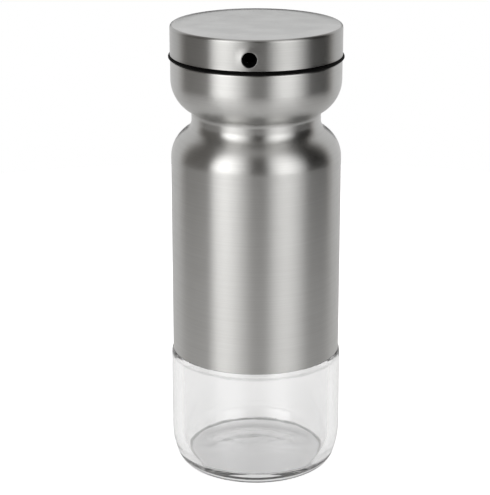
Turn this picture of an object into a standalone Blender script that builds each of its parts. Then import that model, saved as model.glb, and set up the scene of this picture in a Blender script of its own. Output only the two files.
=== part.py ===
"""Oil cruet: a glass bottle in a brushed steel sleeve, closed by a pouring head with a turning cap.

Metres, +Z up. The bottle stands on z = 0 with its axis on Z, and the pour hole looks along -Y.
The head pulls straight up out of the neck, and the cap turns on the head about Z.
"""
import math

import bmesh
import bpy
from mathutils import Matrix, Vector

# Clearances
SEAT_GAP = 0.0002           # faces that rest on each other
RUN_GAP = 0.0003            # faces that turn or slide past each other
CUT_OVERRUN = 0.001         # how far a cutter runs past the wall that it cuts

# Smoothness of round shapes
TURN_STEPS = 36             # sides of a piece turned about the bottle's axis
SMALL_STEPS = 20            # sides of a small hole, seal or screw
ARC_STEPS = 4               # straight runs in a main curve of an outline
EDGE_STEPS = 2              # straight runs in a small rounded edge
SECTION_STEPS = 8           # sides of a sealing ring's round section
SHARP_ANGLE = math.radians(35)
SAME_POINT = 1e-7           # points closer than this are one

# Glass bottle
FOOT_HEIGHT = 0.0471        # table to the ledge that the sleeve stands on
FOOT_PROUD = 0.0006         # foot beyond the sleeve's outside
LEDGE_ROUND = 0.0009
HEEL_FLANK_RADIUS = 0.0280  # the foot's side starts to curve in on this radius
HEEL_FLANK_ANGLE = math.radians(21)
HEEL_RADIUS = 0.0075        # and turns under to the table on this one
FOOT_RING_WIDTH = 0.0030    # flat ring that touches the table
PUSH_UP = 0.0015            # hollow under the base, at the middle
SLEEVE_FIT = 0.0004         # glass to the sleeve's inside
GLASS_WALL = 0.0026
FLOOR_THICKNESS = 0.0042
FLOOR_ROUND = 0.0025
GLASS_SHOULDER_FILLET = 0.0060
NECK_FIT = 0.0032           # neck to the inside of the sleeve's waist
NECK_WALL = 0.0030
BEAD_PROUD = 0.0010         # snap bead round the neck
BEAD_HEIGHT = 0.0024
BEAD_DROP = 0.0045          # mouth to the middle of the bead
MOUTH_ROUND = 0.0009

# Steel sleeve
SLEEVE_RADIUS = 0.0320
SLEEVE_WALL = 0.0005
TUBE_LENGTH = 0.0761        # straight part, from the lower edge to the shoulder
SHOULDER_RADIUS = 0.0123
SHOULDER_FILLET = 0.0044
WAIST_DEPTH = 0.00775       # waist drawn in from the tube
WAIST_LENGTH = 0.0019
BOWL_FILLET = 0.0027
BOWL_RADIUS = 0.0136
COLLAR_LENGTH = 0.0077      # straight part above the bowl, up to the rim
RIM_ROUND_INSIDE = 0.0003

# Neck collar and its washer
COLLAR_WALL = 0.0022
COLLAR_FLANGE = 0.0010
COLLAR_SKIRT = 0.0030       # collar below the snap bead
LIP_STEP = 0.0008           # lip set back from the bottle's bore
LIP_FLOOR = 0.0012          # lip left under the key notches
NECK_WASHER_THICKNESS = 0.0008

# Rim gasket
GASKET_SPACE = 0.00195      # rim to the cap's lower edge
GASKET_PROUD = 0.00075
GASKET_ROUND = 0.0004

# Pour plug
DRUM_FLOOR = 0.0010
DRUM_WALL = 0.0020
STEM_FIT = 0.0005
STEM_WALL = 0.0036
STEM_DEPTH = 0.0150         # stem below the glass mouth
KEY_WIDTH = 0.0040
KEY_DEPTH = 0.0016          # key's reach into the collar's lip
KEY_HEIGHT = 0.0018
KEY_ROOT = 0.0010           # key sunk into the stem that carries it

# Seals
STEM_RING_SECTION = 0.0011  # radius of the ring's round section
STEM_RING_FIT = 0.00015
STEM_RING_DROP = 0.0035     # mouth to the upper ring
STEM_RING_PITCH = 0.0060
PORT_RADIUS = 0.0020
VENT_RADIUS = 0.0008
SEAL_WALL = 0.0009
PORT_MARGIN = 0.0006        # drum wall left above the outlet port

# Drum lid and pivot
LID_THICKNESS = 0.0010
SPIGOT_DEPTH = 0.0010
SPIGOT_WALL = 0.0015
HUB_DEPTH = 0.0020          # hub below the lid
HUB_WALL = 0.0025
PEG_RADIUS = 0.0012
PEG_CIRCLE = 0.0160
PEG_ENGAGE = 0.0006         # peg's reach into the liner's groove
PIVOT_WALL = 0.0013
PILOT_ROOF = 0.0010         # liner left above the screw's pilot hole
PILOT_SPARE = 0.0006        # pilot hole beyond the screw's tip
PIVOT_WASHER_THICKNESS = 0.0006
PIVOT_WASHER_OVERLAP = 0.0022
SCREW_RADIUS = 0.0015
SCREW_POINT = 0.0007        # bevel at the screw's tip
SCREW_HEAD_OVERLAP = 0.0012
SCREW_HEAD_HEIGHT = 0.0014
SCREW_SLOT_WIDTH = 0.0008
SCREW_SLOT_DEPTH = 0.0006

# Cap
CAP_INSET = 0.0001          # cap's side in from the sleeve's side
CAP_WALL = 0.0006
CAP_EDGE_INSIDE = 0.0015
LINER_FIT = 0.0002
LINER_WALL = 0.0019
LINER_TOP = 0.0016
POUR_RADIUS = 0.0028
POUR_EDGE = 0.00072         # steel left under the pour hole
CAP_TURN = math.radians(90)
PEG_ANGLE = 0.0             # stop peg, from +X
TURN_SLACK = math.radians(1.5)

# Radii worked out from the sleeve inwards
SLEEVE_BORE = SLEEVE_RADIUS - SLEEVE_WALL
FOOT_RADIUS = SLEEVE_RADIUS + FOOT_PROUD
BODY_RADIUS = SLEEVE_BORE - SLEEVE_FIT
GLASS_SHOULDER_RADIUS = SHOULDER_RADIUS - SLEEVE_WALL - SLEEVE_FIT
CAVITY_RADIUS = BODY_RADIUS - GLASS_WALL
WAIST_RADIUS = SLEEVE_RADIUS - WAIST_DEPTH
NECK_RADIUS = WAIST_RADIUS - SLEEVE_WALL - NECK_FIT
NECK_BORE = NECK_RADIUS - NECK_WALL
BEAD_RADIUS = NECK_RADIUS + BEAD_PROUD
COLLAR_BORE = NECK_RADIUS + RUN_GAP
COLLAR_GROOVE = BEAD_RADIUS + RUN_GAP
COLLAR_RADIUS = COLLAR_GROOVE + COLLAR_WALL
RIM_HOLE = COLLAR_RADIUS + RUN_GAP
LIP_BORE = NECK_BORE + LIP_STEP
KEY_REACH = LIP_BORE + KEY_DEPTH
STEM_RADIUS = NECK_BORE - STEM_FIT
STEM_BORE = STEM_RADIUS - STEM_WALL
STEM_RING_RADIUS = NECK_BORE - STEM_RING_FIT - STEM_RING_SECTION

# Radii worked out from the cap inwards
CAP_RADIUS = SLEEVE_RADIUS - CAP_INSET
LINER_RADIUS = CAP_RADIUS - CAP_WALL - LINER_FIT
LINER_BORE = LINER_RADIUS - LINER_WALL
DRUM_RADIUS = LINER_BORE - RUN_GAP
DRUM_BORE = DRUM_RADIUS - DRUM_WALL
GASKET_BORE = DRUM_RADIUS + RUN_GAP
FLANGE_RADIUS = GASKET_BORE - RUN_GAP
GASKET_RADIUS = SLEEVE_RADIUS + GASKET_PROUD
PORT_SEAL_RADIUS = PORT_RADIUS + SEAL_WALL
PORT_SEAT_RADIUS = PORT_SEAL_RADIUS + SEAT_GAP
VENT_SEAL_RADIUS = VENT_RADIUS + SEAL_WALL
VENT_SEAT_RADIUS = VENT_SEAL_RADIUS + SEAT_GAP
PILOT_RADIUS = SCREW_RADIUS + SEAT_GAP
PIVOT_RADIUS = PILOT_RADIUS + PIVOT_WALL
PIVOT_HOLE = PIVOT_RADIUS + RUN_GAP
PIVOT_WASHER_RADIUS = PIVOT_HOLE + PIVOT_WASHER_OVERLAP
SCREW_HEAD_RADIUS = PILOT_RADIUS + SCREW_HEAD_OVERLAP


def rise(radius_change, first_radius, second_radius):
    """Height of an S-curve of two arcs whose ends both stand upright."""
    total = first_radius + second_radius
    turn = math.acos(1 - abs(radius_change) / total)
    return total * math.sin(turn)


# Heights above the table
SLEEVE_FOOT = FOOT_HEIGHT + SEAT_GAP
SHOULDER_Z = SLEEVE_FOOT + TUBE_LENGTH
WAIST_Z = SHOULDER_Z + rise(WAIST_DEPTH, SHOULDER_RADIUS, SHOULDER_FILLET)
BOWL_Z = WAIST_Z + WAIST_LENGTH
COLLAR_Z = BOWL_Z + rise(WAIST_DEPTH, BOWL_FILLET, BOWL_RADIUS)
RIM_Z = COLLAR_Z + COLLAR_LENGTH

# Heights above the rim, for everything that the rim carries
FLANGE_LOW = SEAT_GAP
FLANGE_TOP = FLANGE_LOW + COLLAR_FLANGE
DRUM_LOW = FLANGE_TOP + SEAT_GAP
DRUM_FLOOR_TOP = DRUM_LOW + DRUM_FLOOR
KEY_LOW = DRUM_LOW - KEY_HEIGHT
NOTCH_LOW = KEY_LOW - RUN_GAP
LIP_LOW = NOTCH_LOW - LIP_FLOOR
NECK_WASHER_TOP = LIP_LOW - SEAT_GAP
NECK_WASHER_LOW = NECK_WASHER_TOP - NECK_WASHER_THICKNESS
MOUTH = NECK_WASHER_LOW - SEAT_GAP
BEAD = MOUTH - BEAD_DROP
COLLAR_LOW = BEAD - BEAD_HEIGHT / 2 - COLLAR_SKIRT
STEM_LOW = MOUTH - STEM_DEPTH
POUR_Z = GASKET_SPACE + POUR_EDGE + POUR_RADIUS
DRUM_TOP = POUR_Z + PORT_SEAT_RADIUS + PORT_MARGIN
LID_LOW = DRUM_TOP + SEAT_GAP
LID_TOP = LID_LOW + LID_THICKNESS
LINER_UNDER = LID_TOP + RUN_GAP
LINER_CROWN = LINER_UNDER + LINER_TOP
CAP_UNDER = LINER_CROWN + LINER_FIT
CAP_CROWN = CAP_UNDER + CAP_WALL
HUB_LOW = LID_LOW - HUB_DEPTH
BOSS_LOW = HUB_LOW - RUN_GAP
PIVOT_WASHER_TOP = BOSS_LOW - SEAT_GAP
PIVOT_WASHER_LOW = PIVOT_WASHER_TOP - PIVOT_WASHER_THICKNESS
SCREW_HEAD_TOP = PIVOT_WASHER_LOW - SEAT_GAP
SCREW_HEAD_LOW = SCREW_HEAD_TOP - SCREW_HEAD_HEIGHT
PILOT_TOP = LINER_CROWN - PILOT_ROOF
SCREW_TIP = PILOT_TOP - PILOT_SPARE


def arc(centre, radius, start, end, steps=ARC_STEPS):
    """Points (r, z) on an arc, with angles in degrees from outward (0) to up (90)."""
    points = []
    for step in range(steps + 1):
        angle = math.radians(start + (end - start) * step / steps)
        points.append((centre[0] + radius * math.cos(angle), centre[1] + radius * math.sin(angle)))
    return points


def s_curve(start, end_radius, first_radius, second_radius, inward=0.0):
    """Points up an S-curve from start, a wall's thickness inward of the given radii."""
    side = math.copysign(1, end_radius - start[0])
    change = abs(end_radius - start[0])
    turn = math.acos(1 - change / (first_radius + second_radius))
    height = rise(change, first_radius, second_radius)
    first = first_radius + side * inward
    second = second_radius - side * inward
    points = []
    for step in range(ARC_STEPS + 1):
        angle = turn * step / ARC_STEPS
        points.append((start[0] - inward + side * first * (1 - math.cos(angle)),
                       start[1] + first * math.sin(angle)))
    for step in reversed(range(ARC_STEPS)):
        angle = turn * step / ARC_STEPS
        points.append((end_radius - inward - side * second * (1 - math.cos(angle)),
                       start[1] + height - second * math.sin(angle)))
    return points


def clear_scene():
    """Start from an empty scene."""
    for old in list(bpy.data.objects):
        bpy.data.objects.remove(old, do_unlink=True)


def frame(name, height, parent=None):
    """An empty on the bottle's axis that carries the pieces of one moving group."""
    empty = bpy.data.objects.new(name, None)
    empty.location = (0, 0, height)
    empty.parent = parent
    bpy.context.scene.collection.objects.link(empty)
    return empty


def place(name, bm, parent):
    """Turn a bmesh into a smooth-shaded object carried by parent."""
    bmesh.ops.recalc_face_normals(bm, faces=bm.faces)
    mesh = bpy.data.meshes.new(name)
    bm.to_mesh(mesh)
    bm.free()
    mesh.shade_smooth()
    mesh.set_sharp_from_angle(angle=SHARP_ANGLE)
    piece = bpy.data.objects.new(name, mesh)
    piece.parent = parent
    bpy.context.scene.collection.objects.link(piece)
    return piece


def turned(name, outline, parent, steps=TURN_STEPS):
    """Turn an (r, z) outline about Z. An outline that starts on the axis also ends there."""
    bm = bmesh.new()
    points = [bm.verts.new((radius, 0, height)) for radius, height in outline]
    edges = [bm.edges.new(pair) for pair in zip(points, points[1:])]
    if outline[0][0] > 0:
        edges.append(bm.edges.new((points[-1], points[0])))
    bmesh.ops.spin(bm, geom=points + edges, cent=(0, 0, 0), axis=(0, 0, 1), dvec=(0, 0, 0),
                   angle=math.tau, steps=steps, use_merge=True, use_duplicate=False)
    bmesh.ops.remove_doubles(bm, verts=bm.verts, dist=SAME_POINT)
    return place(name, bm, parent)


def box(name, low, high, parent):
    """A plain block between two corners."""
    bm = bmesh.new()
    bmesh.ops.create_cube(bm, size=1)
    size = [top - bottom for bottom, top in zip(low, high)]
    middle = [(top + bottom) / 2 for bottom, top in zip(low, high)]
    bmesh.ops.scale(bm, vec=size, verts=bm.verts)
    bmesh.ops.translate(bm, vec=middle, verts=bm.verts)
    return place(name, bm, parent)


def combine(piece, tool, operation):
    """Cut a hidden tool out of a piece, or join it on."""
    tool.hide_render = True
    tool.display_type = "WIRE"
    change = piece.modifiers.new(tool.name, "BOOLEAN")
    change.operation = operation
    change.solver = "EXACT"
    change.object = tool


def radial_hole(name, piece, radius, inner, outer, front):
    """Cut a round hole through a wall at the pour hole's height, at the front or at the rear."""
    length = outer - inner + 2 * CUT_OVERRUN
    outline = [(0, 0), (radius, 0), (radius, length), (0, length)]
    cutter = turned(name, outline, piece.parent, SMALL_STEPS)
    side = -1 if front else 1
    cutter.location = (0, side * (inner - CUT_OVERRUN), POUR_Z)
    cutter.rotation_euler = (-side * math.pi / 2, 0, 0)
    combine(piece, cutter, "DIFFERENCE")


def finish(piece, colour, roughness, metallic=0.0, transmission=0.0):
    """Give a piece its own surface."""
    material = bpy.data.materials.new(piece.name + "_finish")
    material.use_nodes = True
    shader = material.node_tree.nodes["Principled BSDF"]
    shader.inputs["Base Color"].default_value = (*colour, 1)
    shader.inputs["Roughness"].default_value = roughness
    shader.inputs["Metallic"].default_value = metallic
    shader.inputs["Transmission Weight"].default_value = transmission
    material.diffuse_color = (*colour, 1)
    piece.data.materials.append(material)


def clear_glass(piece):
    finish(piece, (0.93, 0.96, 0.95), 0.02, transmission=1.0)


def brushed_steel(piece):
    finish(piece, (0.62, 0.62, 0.61), 0.30, metallic=1.0)


def black_plastic(piece):
    finish(piece, (0.025, 0.025, 0.027), 0.45)


def black_silicone(piece):
    finish(piece, (0.018, 0.018, 0.018), 0.60)


def glass_bottle(parent):
    """Thick glass foot below a ledge, thinner body inside the sleeve, neck with a snap bead."""
    mouth = RIM_Z + MOUTH
    bead = RIM_Z + BEAD
    bead_half = BEAD_HEIGHT / 2
    flank_degrees = math.degrees(HEEL_FLANK_ANGLE)
    flank_top = HEEL_RADIUS + (HEEL_FLANK_RADIUS - HEEL_RADIUS) * math.sin(HEEL_FLANK_ANGLE)
    flank_centre = (FOOT_RADIUS - HEEL_FLANK_RADIUS, flank_top)
    heel_r = flank_centre[0] + (HEEL_FLANK_RADIUS - HEEL_RADIUS) * math.cos(HEEL_FLANK_ANGLE)
    hollow_r = heel_r - FOOT_RING_WIDTH
    hollow_radius = (hollow_r ** 2 + PUSH_UP ** 2) / (2 * PUSH_UP)
    hollow_half = math.degrees(math.asin(hollow_r / hollow_radius))
    bead_radius = (bead_half ** 2 + BEAD_PROUD ** 2) / (2 * BEAD_PROUD)
    bead_turn = math.degrees(math.asin(bead_half / bead_radius))

    hollow = arc((0, PUSH_UP - hollow_radius), hollow_radius, 90, 90 - hollow_half)
    heel = arc((heel_r, HEEL_RADIUS), HEEL_RADIUS, -90, -flank_degrees)
    flank = arc(flank_centre, HEEL_FLANK_RADIUS, -flank_degrees, 0)
    ledge = arc((FOOT_RADIUS - LEDGE_ROUND, FOOT_HEIGHT - LEDGE_ROUND), LEDGE_ROUND, 0, 90, EDGE_STEPS)
    shoulder = s_curve((BODY_RADIUS, SHOULDER_Z), NECK_RADIUS,
                       GLASS_SHOULDER_RADIUS, GLASS_SHOULDER_FILLET)
    snap = arc((BEAD_RADIUS - bead_radius, bead), bead_radius, -bead_turn, bead_turn, EDGE_STEPS)
    lip = arc((NECK_RADIUS - MOUTH_ROUND, mouth - MOUTH_ROUND), MOUTH_ROUND, 0, 90, EDGE_STEPS)
    lip += arc((NECK_BORE + MOUTH_ROUND, mouth - MOUTH_ROUND), MOUTH_ROUND, 90, 180, EDGE_STEPS)
    inside = s_curve((CAVITY_RADIUS, SHOULDER_Z), NECK_BORE,
                     GLASS_SHOULDER_RADIUS - GLASS_WALL, GLASS_SHOULDER_FILLET + NECK_WALL)
    floor_centre = (CAVITY_RADIUS - FLOOR_ROUND, FLOOR_THICKNESS + FLOOR_ROUND)
    floor = arc(floor_centre, FLOOR_ROUND, 0, -90, EDGE_STEPS)

    outline = [(0, PUSH_UP)] + hollow[1:] + heel + flank[1:] + ledge + [(BODY_RADIUS, FOOT_HEIGHT)]
    outline += shoulder + snap + lip + inside[::-1] + floor + [(0, FLOOR_THICKNESS)]
    bottle = turned("glass_bottle", outline, parent)
    clear_glass(bottle)


def steel_sleeve(parent):
    """Drawn steel tube with a waist and a bowl-shaped collar, its rim turned in as a flat flange."""
    def wall(inward):
        lower = [(SLEEVE_RADIUS - inward, SLEEVE_FOOT)]
        waist = s_curve((SLEEVE_RADIUS, SHOULDER_Z), WAIST_RADIUS,
                        SHOULDER_RADIUS, SHOULDER_FILLET, inward)
        bowl = s_curve((WAIST_RADIUS, BOWL_Z), SLEEVE_RADIUS, BOWL_FILLET, BOWL_RADIUS, inward)
        return lower + waist + bowl

    rim_centre = (SLEEVE_BORE - RIM_ROUND_INSIDE, RIM_Z - SLEEVE_WALL - RIM_ROUND_INSIDE)
    rim = arc(rim_centre, RIM_ROUND_INSIDE + SLEEVE_WALL, 0, 90, EDGE_STEPS)
    flange = [(RIM_HOLE, RIM_Z), (RIM_HOLE, RIM_Z - SLEEVE_WALL)]
    rim_inside = arc(rim_centre, RIM_ROUND_INSIDE, 90, 0, EDGE_STEPS)
    outline = wall(0) + rim + flange + rim_inside + wall(SLEEVE_WALL)[::-1]
    sleeve = turned("steel_sleeve", outline, parent)
    brushed_steel(sleeve)


def key_blocks(name, low, high, inner, outer, width, parent):
    """Two blocks, at -X and +X, for the keys on the stem or for their notches in the collar."""
    blocks = []
    for side in (-1, 1):
        reach = sorted((side * inner, side * outer))
        blocks.append(box(f"{name}_{'left' if side < 0 else 'right'}", (reach[0], -width / 2, low),
                          (reach[1], width / 2, high), parent))
    return blocks


def neck_collar(parent):
    """Plastic ring snapped over the neck's bead, its flange clamping the sleeve's rim from above."""
    groove_half = BEAD_HEIGHT / 2 + RUN_GAP
    outline = [(COLLAR_BORE, COLLAR_LOW), (COLLAR_RADIUS, COLLAR_LOW), (COLLAR_RADIUS, FLANGE_LOW),
               (FLANGE_RADIUS, FLANGE_LOW), (FLANGE_RADIUS, FLANGE_TOP), (LIP_BORE, FLANGE_TOP),
               (LIP_BORE, LIP_LOW), (COLLAR_BORE, LIP_LOW), (COLLAR_BORE, BEAD + groove_half),
               (COLLAR_GROOVE, BEAD + groove_half), (COLLAR_GROOVE, BEAD - groove_half),
               (COLLAR_BORE, BEAD - groove_half)]
    collar = turned("neck_collar", outline, parent)
    for notch in key_blocks("key_notch", NOTCH_LOW, FLANGE_TOP + CUT_OVERRUN, LIP_BORE - CUT_OVERRUN,
                            KEY_REACH + RUN_GAP, KEY_WIDTH + 2 * RUN_GAP, parent):
        combine(collar, notch, "DIFFERENCE")
    black_plastic(collar)


def neck_washer(parent):
    """Soft washer between the glass mouth and the collar's lip."""
    outer = COLLAR_BORE - RUN_GAP
    outline = [(LIP_BORE, NECK_WASHER_LOW), (outer, NECK_WASHER_LOW),
               (outer, NECK_WASHER_TOP), (LIP_BORE, NECK_WASHER_TOP)]
    black_silicone(turned("neck_washer", outline, parent))


def rim_gasket(parent):
    """Black ring round the collar's flange, standing proud between the rim and the cap."""
    low = SEAT_GAP
    top = GASKET_SPACE - SEAT_GAP
    edge = GASKET_RADIUS - GASKET_ROUND
    outline = [(GASKET_BORE, low)] + arc((edge, low + GASKET_ROUND), GASKET_ROUND, -90, 0, EDGE_STEPS)
    outline += arc((edge, top - GASKET_ROUND), GASKET_ROUND, 0, 90, EDGE_STEPS) + [(GASKET_BORE, top)]
    black_silicone(turned("rim_gasket", outline, parent))


def pour_plug(parent):
    """Stopper: hollow stem with two ring grooves, drum with the outlet and air ports, two keys."""
    groove_depth = STEM_RING_RADIUS - STEM_RING_SECTION - SEAT_GAP
    groove_half = STEM_RING_SECTION + RUN_GAP
    outline = [(STEM_BORE, STEM_LOW), (STEM_RADIUS, STEM_LOW)]
    for drop in (STEM_RING_DROP + STEM_RING_PITCH, STEM_RING_DROP):
        middle = MOUTH - drop
        outline += [(STEM_RADIUS, middle - groove_half), (groove_depth, middle - groove_half),
                    (groove_depth, middle + groove_half), (STEM_RADIUS, middle + groove_half)]
    outline += [(STEM_RADIUS, DRUM_LOW), (DRUM_RADIUS, DRUM_LOW), (DRUM_RADIUS, DRUM_TOP),
                (DRUM_BORE, DRUM_TOP), (DRUM_BORE, DRUM_FLOOR_TOP), (STEM_BORE, DRUM_FLOOR_TOP)]
    plug = turned("pour_plug", outline, parent)
    for key in key_blocks("key", KEY_LOW, DRUM_LOW + DRUM_FLOOR / 2, STEM_RADIUS - KEY_ROOT, KEY_REACH,
                          KEY_WIDTH, parent):
        combine(plug, key, "UNION")
    radial_hole("outlet_port", plug, PORT_SEAT_RADIUS, DRUM_BORE, DRUM_RADIUS, front=True)
    radial_hole("air_port", plug, VENT_SEAT_RADIUS, DRUM_BORE, DRUM_RADIUS, front=False)
    black_plastic(plug)


def stem_ring(name, drop, parent):
    """Round sealing ring in a groove of the stem."""
    outline = arc((STEM_RING_RADIUS, MOUTH - drop), STEM_RING_SECTION, 0, 360, SECTION_STEPS)
    black_silicone(turned(name, outline[:-1], parent))


def port_seal(name, bore, outer, front, parent):
    """Soft grommet in a port of the drum, its face against the cap's liner."""
    flat_side = LINER_BORE * math.cos(math.pi / TURN_STEPS)
    face = math.sqrt(flat_side ** 2 - outer ** 2) - RUN_GAP
    length = face - DRUM_BORE
    outline = [(bore, 0), (outer, 0), (outer, length), (bore, length)]
    seal = turned(name, outline, parent, SMALL_STEPS)
    side = -1 if front else 1
    seal.location = (0, side * DRUM_BORE, POUR_Z)
    seal.rotation_euler = (-side * math.pi / 2, 0, 0)
    black_silicone(seal)


def drum_lid(parent):
    """Disc that closes the drum, with a hub for the cap's pivot and a stop peg on top."""
    spigot = DRUM_BORE - SEAT_GAP
    spigot_low = LID_LOW - SPIGOT_DEPTH
    hub = PIVOT_HOLE + HUB_WALL
    outline = [(PIVOT_HOLE, HUB_LOW), (hub, HUB_LOW), (hub, LID_LOW), (spigot - SPIGOT_WALL, LID_LOW),
               (spigot - SPIGOT_WALL, spigot_low), (spigot, spigot_low), (spigot, LID_LOW),
               (DRUM_RADIUS, LID_LOW), (DRUM_RADIUS, LID_TOP), (PIVOT_HOLE, LID_TOP)]
    lid = turned("drum_lid", outline, parent)
    foot = LID_TOP - LID_THICKNESS / 2
    top = LID_TOP + RUN_GAP + PEG_ENGAGE
    peg_outline = [(0, foot), (PEG_RADIUS, foot), (PEG_RADIUS, top), (0, top)]
    peg = turned("stop_peg", peg_outline, parent, SMALL_STEPS)
    peg.location = (PEG_CIRCLE * math.cos(PEG_ANGLE), PEG_CIRCLE * math.sin(PEG_ANGLE), 0)
    combine(lid, peg, "UNION")
    black_plastic(lid)


def stop_groove(parent):
    """The room that the stop peg needs in the liner over the cap's turn, with a little slack."""
    half = PEG_RADIUS + RUN_GAP
    inner = PEG_CIRCLE - half
    outer = PEG_CIRCLE + half
    low = LINER_UNDER - CUT_OVERRUN
    top = LINER_UNDER + RUN_GAP + PEG_ENGAGE
    spare = math.asin(half / inner) + TURN_SLACK
    start = Matrix.Rotation(PEG_ANGLE - spare, 3, "Z")
    bm = bmesh.new()
    corners = [(inner, 0, low), (outer, 0, low), (outer, 0, top), (inner, 0, top)]
    section = bm.faces.new([bm.verts.new(start @ Vector(corner)) for corner in corners])
    bmesh.ops.spin(bm, geom=[section] + section.edges[:] + section.verts[:], cent=(0, 0, 0),
                   axis=(0, 0, 1), dvec=(0, 0, 0), angle=CAP_TURN + 2 * spare,
                   steps=TURN_STEPS // 4, use_duplicate=False)
    return place("stop_groove", bm, parent)


def cap_liner(parent):
    """Plastic liner pressed into the cap, with the pivot boss, the two ports and the stop groove."""
    low = GASKET_SPACE + RUN_GAP
    outline = [(0, PILOT_TOP), (PILOT_RADIUS, PILOT_TOP), (PILOT_RADIUS, BOSS_LOW),
               (PIVOT_RADIUS, BOSS_LOW), (PIVOT_RADIUS, LINER_UNDER), (LINER_BORE, LINER_UNDER),
               (LINER_BORE, low), (LINER_RADIUS, low)]
    edge = CAP_EDGE_INSIDE - LINER_FIT
    outline += arc((LINER_RADIUS - edge, LINER_CROWN - edge), edge, 0, 90, EDGE_STEPS)
    outline += [(0, LINER_CROWN)]
    liner = turned("cap_liner", outline, parent)
    combine(liner, stop_groove(parent), "DIFFERENCE")
    radial_hole("liner_pour_hole", liner, POUR_RADIUS, LINER_BORE, LINER_RADIUS, front=True)
    radial_hole("liner_air_hole", liner, VENT_RADIUS, LINER_BORE, LINER_RADIUS, front=False)
    black_plastic(liner)


def cap_shell(parent):
    """Drawn steel cap with a round pour hole low on its front and a small air hole at the rear."""
    edge_centre = (CAP_RADIUS - CAP_WALL - CAP_EDGE_INSIDE, CAP_UNDER - CAP_EDGE_INSIDE)
    bore = CAP_RADIUS - CAP_WALL
    outline = [(0, CAP_UNDER)] + arc(edge_centre, CAP_EDGE_INSIDE, 90, 0) + [(bore, GASKET_SPACE)]
    outline += [(CAP_RADIUS, GASKET_SPACE)] + arc(edge_centre, CAP_EDGE_INSIDE + CAP_WALL, 0, 90)
    outline += [(0, CAP_CROWN)]
    shell = turned("cap_shell", outline, parent)
    radial_hole("shell_pour_hole", shell, POUR_RADIUS, bore, CAP_RADIUS, front=True)
    radial_hole("shell_air_hole", shell, VENT_RADIUS, bore, CAP_RADIUS, front=False)
    brushed_steel(shell)


def pivot_fasteners(parent):
    """Washer and slotted screw that hold the liner's boss under the lid's hub."""
    washer_outline = [(PILOT_RADIUS, PIVOT_WASHER_LOW), (PIVOT_WASHER_RADIUS, PIVOT_WASHER_LOW),
                      (PIVOT_WASHER_RADIUS, PIVOT_WASHER_TOP), (PILOT_RADIUS, PIVOT_WASHER_TOP)]
    washer = turned("pivot_washer", washer_outline, parent, SMALL_STEPS)
    finish(washer, (0.55, 0.55, 0.54), 0.25, metallic=1.0)
    screw_outline = [(0, SCREW_HEAD_LOW), (SCREW_HEAD_RADIUS, SCREW_HEAD_LOW),
                     (SCREW_HEAD_RADIUS, SCREW_HEAD_TOP), (SCREW_RADIUS, SCREW_HEAD_TOP),
                     (SCREW_RADIUS, SCREW_TIP - SCREW_POINT), (SCREW_RADIUS - SCREW_POINT, SCREW_TIP),
                     (0, SCREW_TIP)]
    screw = turned("pivot_screw", screw_outline, parent, SMALL_STEPS)
    reach = SCREW_HEAD_RADIUS + CUT_OVERRUN
    slot = box("screw_slot", (-reach, -SCREW_SLOT_WIDTH / 2, SCREW_HEAD_LOW - CUT_OVERRUN),
               (reach, SCREW_SLOT_WIDTH / 2, SCREW_HEAD_LOW + SCREW_SLOT_DEPTH), parent)
    combine(screw, slot, "DIFFERENCE")
    finish(screw, (0.60, 0.60, 0.58), 0.25, metallic=1.0)


def main():
    clear_scene()
    bottle = frame("bottle_frame", 0)
    glass_bottle(bottle)
    steel_sleeve(bottle)
    rim = frame("rim_frame", RIM_Z, bottle)
    neck_collar(rim)
    neck_washer(rim)
    rim_gasket(rim)
    head = frame("pour_head_frame", RIM_Z, bottle)
    pour_plug(head)
    stem_ring("stem_ring_upper", STEM_RING_DROP, head)
    stem_ring("stem_ring_lower", STEM_RING_DROP + STEM_RING_PITCH, head)
    port_seal("port_seal", PORT_RADIUS, PORT_SEAL_RADIUS, True, head)
    port_seal("vent_seal", VENT_RADIUS, VENT_SEAL_RADIUS, False, head)
    drum_lid(head)
    cap = frame("cap_pivot", 0, head)
    cap_liner(cap)
    cap_shell(cap)
    pivot_fasteners(cap)


main()
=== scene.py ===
"""The looks of a table oil cruet: a glass bottle in a steel sleeve, closed by a pouring head.

Metres, +Z up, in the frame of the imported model. The axis of every turned piece is Z, and the pour
hole looks along -Y.
"""
import math

import bmesh
import bpy
from bpy.props import FloatProperty, FloatVectorProperty, IntProperty, PointerProperty
from bpy.types import Operator, Panel, PropertyGroup
from mathutils import Matrix, Vector


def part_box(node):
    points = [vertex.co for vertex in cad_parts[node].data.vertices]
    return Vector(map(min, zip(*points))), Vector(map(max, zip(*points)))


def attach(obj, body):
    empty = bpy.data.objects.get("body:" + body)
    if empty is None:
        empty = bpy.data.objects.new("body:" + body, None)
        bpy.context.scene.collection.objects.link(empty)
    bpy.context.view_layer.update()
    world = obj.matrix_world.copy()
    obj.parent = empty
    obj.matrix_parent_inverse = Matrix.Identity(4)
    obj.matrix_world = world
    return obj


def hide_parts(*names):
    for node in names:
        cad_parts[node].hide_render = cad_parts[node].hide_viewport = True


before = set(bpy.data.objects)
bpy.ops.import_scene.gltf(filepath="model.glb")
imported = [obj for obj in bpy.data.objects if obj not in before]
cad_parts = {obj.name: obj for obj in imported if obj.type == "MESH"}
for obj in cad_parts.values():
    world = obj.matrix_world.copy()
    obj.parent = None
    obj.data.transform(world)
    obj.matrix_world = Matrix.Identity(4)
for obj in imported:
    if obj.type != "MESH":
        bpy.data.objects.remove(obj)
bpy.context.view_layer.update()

bl_info = {
    "name": "Oil cruet",
    "version": (1, 0, 0),
    "blender": (4, 5, 0),
    "location": "3D View > Sidebar > Cruet",
    "description": "Builds the glass, steel, plastic and rubber pieces of a table oil cruet",
    "category": "Object",
}

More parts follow.
